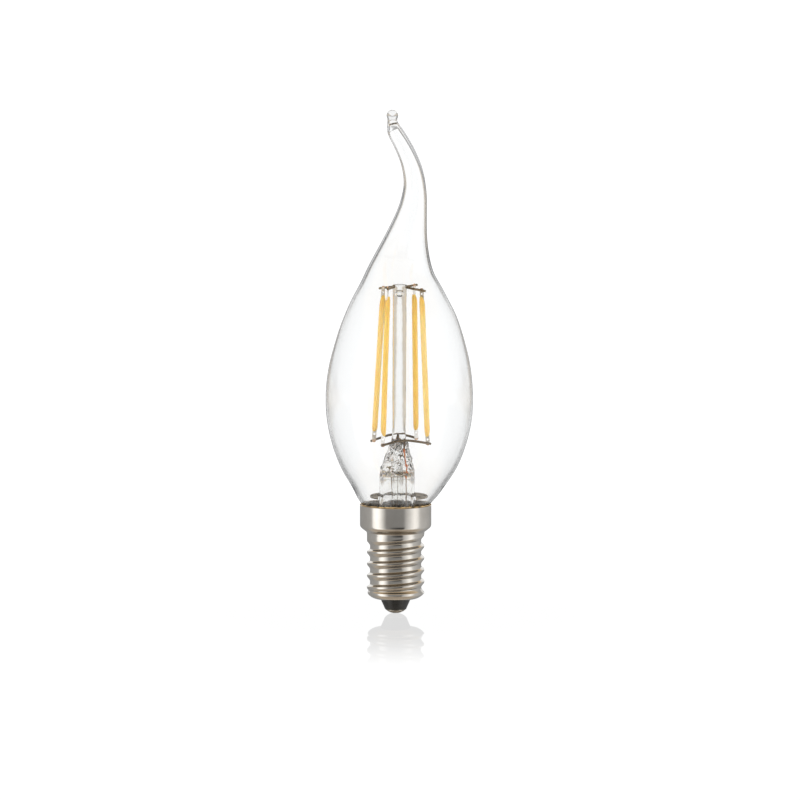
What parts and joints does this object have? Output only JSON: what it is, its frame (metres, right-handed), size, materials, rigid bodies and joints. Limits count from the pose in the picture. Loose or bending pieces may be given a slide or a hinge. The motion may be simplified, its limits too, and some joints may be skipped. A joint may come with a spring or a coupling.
{
  "type": "candle light bulb",
  "caption": "Clear candle light bulb with a bent flame tip, yellow filament strips on wire arms around a glass stem, and a small nickel screw cap.",
  "frame": {"origin": "lowest point of the centre contact, on the axis of the screw cap", "axes": "+Z along the cap's axis, from the contact to the glass tip; +X is the side the glass tail swings to first; the picture looks along +Y"},
  "size_m": [0.035, 0.035, 0.1201],
  "materials": {
    "clear_glass": "clear, polished",
    "support_wire": "drawn wire, dull brown-grey from heat",
    "copper_clad": "copper-clad wire, orange-red in the glass",
    "lead_wire": "thin drawn wire",
    "phosphor": "soft silicone with yellow phosphor",
    "carrier_strip": "pale ceramic",
    "tab_metal": "stamped, plated",
    "nickel_plate": "nickel-plated, polished",
    "black_glass": "black, glossy",
    "contact_brass": "stamped",
    "solder": "dull tin solder",
    "cement": "brown, matt",
    "board": "printed board",
    "black_package": "moulded",
    "capacitor_can": "can",
    "resistor_body": "lacquered",
    "chip_resistor": "matt",
    "disc_mica": "thin brown-grey sheet, dull",
    "sleeve": "thin film"
  },
  "bodies": {
    "root": {"glass_envelope": "clear_glass", "stem_flare": "clear_glass", "exhaust_tube": "clear_glass", "support_column": "clear_glass", "lower_front_wire": "support_wire", "lower_rear_wire": "support_wire", "upper_left_wire": "support_wire", "upper_right_wire": "support_wire", "front_inner_lead": "support_wire", "rear_inner_lead": "support_wire", "front_seal_wire": "copper_clad", "rear_seal_wire": "copper_clad", "front_outer_lead": "lead_wire", "rear_outer_lead": "lead_wire", "side_contact_wire": "lead_wire", "filament_1_phosphor": "phosphor", "filament_1_strip": "carrier_strip", "filament_1_upper_tab": "tab_metal", "filament_1_lower_tab": "tab_metal", "filament_2_phosphor": "phosphor", "filament_2_strip": "carrier_strip", "filament_2_upper_tab": "tab_metal", "filament_2_lower_tab": "tab_metal", "filament_3_phosphor": "phosphor", "filament_3_strip": "carrier_strip", "filament_3_upper_tab": "tab_metal", "filament_3_lower_tab": "tab_metal", "filament_4_phosphor": "phosphor", "filament_4_strip": "carrier_strip", "filament_4_upper_tab": "tab_metal", "filament_4_lower_tab": "tab_metal", "cap_shell": "nickel_plate", "cap_insulator": "black_glass", "centre_contact": "contact_brass", "contact_solder": "solder", "basing_cement": "cement", "driver_board": "board", "rectifier": "black_package", "driver_chip": "black_package", "smoothing_capacitor": "capacitor_can", "fusible_resistor": "resistor_body", "sense_resistor_1": "chip_resistor", "sense_resistor_2": "chip_resistor", "insulating_sleeve": "sleeve", "neck_disc": "disc_mica"}
  },
  "joints": []
}
